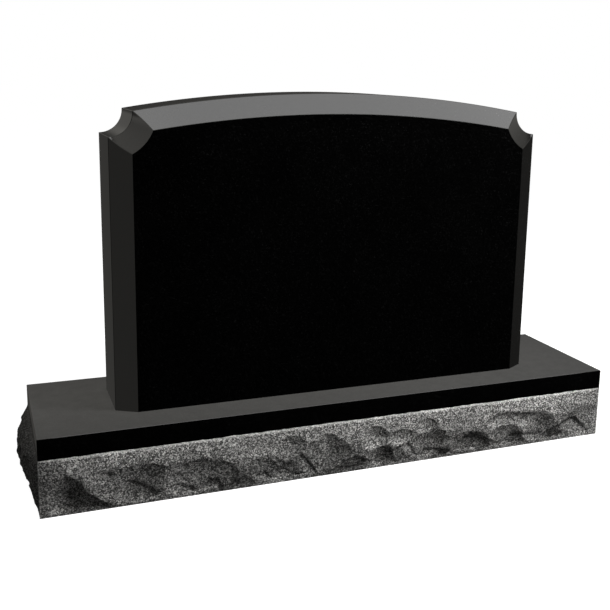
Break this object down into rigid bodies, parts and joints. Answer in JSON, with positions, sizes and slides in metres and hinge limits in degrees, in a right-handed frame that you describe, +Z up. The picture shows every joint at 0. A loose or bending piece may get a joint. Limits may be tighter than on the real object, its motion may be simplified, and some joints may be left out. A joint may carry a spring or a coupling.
{
  "type": "headstone",
  "caption": "Upright headstone: blank polished tablet with arched top, hollow corners and front bevel, on a low base with rock-pitched sides.",
  "frame": {"origin": "middle of the base's flat underside", "axes": "+Z up, -Y out of the bevelled front face, +X to the viewer's right when facing the front"},
  "size_m": [1.279, 0.333, 0.762],
  "materials": {
    "polished_granite": "black granite polished to a mirror gloss on all faces",
    "base_granite": "black granite: polished top and margin, rock-pitched grey sides, sawn underside"
  },
  "bodies": {
    "root": {"tablet": "polished_granite", "base": "base_granite"}
  },
  "joints": []
}
